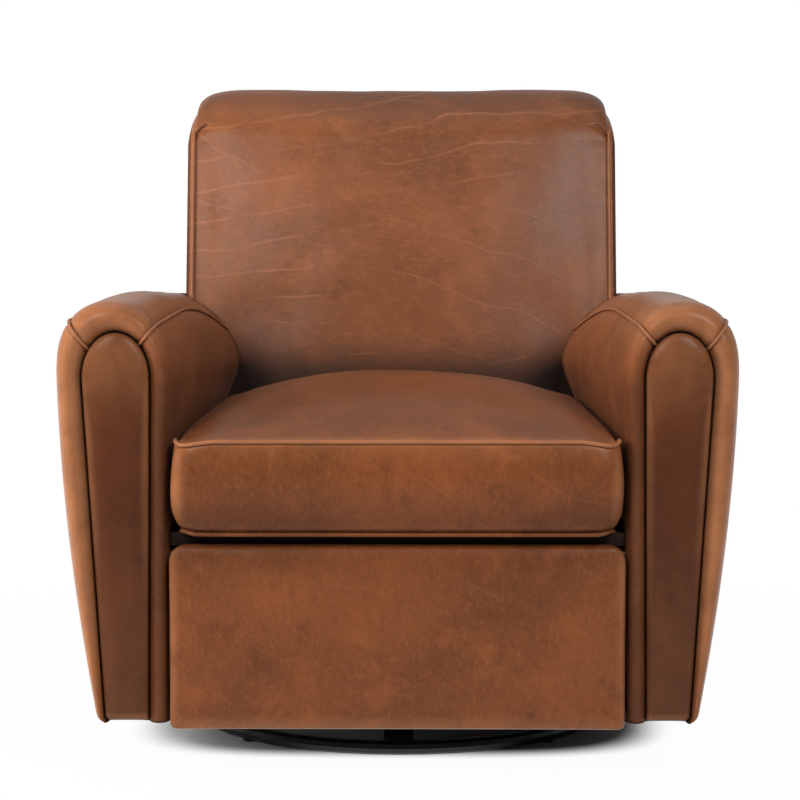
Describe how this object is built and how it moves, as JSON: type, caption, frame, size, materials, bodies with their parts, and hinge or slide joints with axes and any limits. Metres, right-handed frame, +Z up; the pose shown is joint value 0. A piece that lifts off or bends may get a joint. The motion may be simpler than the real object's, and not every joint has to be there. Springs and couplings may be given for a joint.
{
  "type": "swivel rocker chair",
  "caption": "Upholstered club armchair with rolled arms and a loose seat cushion that turns on a ring base and rocks on coil springs.",
  "frame": {"origin": "on the floor, on the swivel axis, at the middle of the overall width and depth", "axes": "+Z up, the seat faces -Y, +X to the right as the chair is looked at from the front"},
  "size_m": [0.87, 0.94, 0.909],
  "materials": {
    "leather": "waxed brown leather, rubbed lighter on the edges",
    "frame_wood": "sawn hardwood, unfinished",
    "black_steel": "satin black powder coat",
    "bearing_steel": "zinc plated",
    "spring_steel": "oiled spring wire",
    "rubber": "matte black",
    "glide": "matte black nylon",
    "deck_felt": "dark brown felt",
    "dust_cloth": "black cambric"
  },
  "bodies": {
    "base": {"base_ring": "black_steel", "floor_glide_1": "glide", "floor_glide_2": "glide", "floor_glide_3": "glide", "floor_glide_4": "glide", "base_arm_right": "black_steel", "base_arm_rear": "black_steel", "base_arm_left": "black_steel", "base_arm_front": "black_steel", "base_hub": "black_steel", "lower_race": "bearing_steel", "king_pin": "bearing_steel"},
    "ball_cage": {"ball_cage": "bearing_steel"},
    "swivel": {"upper_race": "bearing_steel", "rocker_base": "black_steel", "pivot_pin_left": "bearing_steel", "pivot_pin_right": "bearing_steel", "rocker_spring_rear_left": "spring_steel", "rocker_spring_rear_right": "spring_steel", "rocker_spring_front_left": "spring_steel", "rocker_spring_front_right": "spring_steel", "rear_bump_stop_left": "rubber", "rear_bump_stop_right": "rubber", "front_bump_stop_left": "rubber", "front_bump_stop_right": "rubber"},
    "chair": {"rocker_rail_left": "black_steel", "rocker_rail_right": "black_steel", "spring_bar_front": "black_steel", "spring_bar_rear": "black_steel", "mount_slat_front": "frame_wood", "mount_slat_rear": "frame_wood", "front_rail": "frame_wood", "rear_seat_rail": "frame_wood", "side_rail_left": "frame_wood", "side_rail_right": "frame_wood", "arm_post_left": "frame_wood", "arm_post_right": "frame_wood", "arm_top_rail_left": "frame_wood", "arm_top_rail_right": "frame_wood", "back_post_left": "frame_wood", "back_post_right": "frame_wood", "back_top_rail": "frame_wood", "seat_spring_1": "spring_steel", "seat_spring_2": "spring_steel", "seat_spring_3": "spring_steel", "seat_spring_4": "spring_steel", "seat_spring_5": "spring_steel", "deck_pad": "deck_felt", "dust_cover": "dust_cloth", "front_panel": "leather", "arm_left": "leather", "arm_right": "leather", "arm_front_panel_left": "leather", "arm_front_panel_right": "leather", "back_cushion": "leather", "outside_back": "leather", "back_side_left": "leather", "back_side_right": "leather", "seat_cushion": "leather"}
  },
  "joints": [
    {"name": "seat_swivel", "type": "hinge", "parent": "base", "child": "swivel", "pos_m": [0, 0, 0.07], "axis": [0, 0, 1], "continuous": true},
    {"name": "cage_turn", "type": "hinge", "parent": "base", "child": "ball_cage", "pos_m": [0, 0, 0.0687], "axis": [0, 0, 1], "continuous": true},
    {"name": "rocking", "type": "hinge", "parent": "swivel", "child": "chair", "pos_m": [0, 0, 0.14], "axis": [1, 0, 0], "range_deg": [-7, 4], "stiffness_Nm_per_rad": 700, "deforming": ["rocker_spring_rear_left", "rocker_spring_rear_right", "rocker_spring_front_left", "rocker_spring_front_right"]}
  ],
  "couplings": [
    {"joint": "cage_turn", "follows": "seat_swivel", "ratio": 0.5}
  ]
}
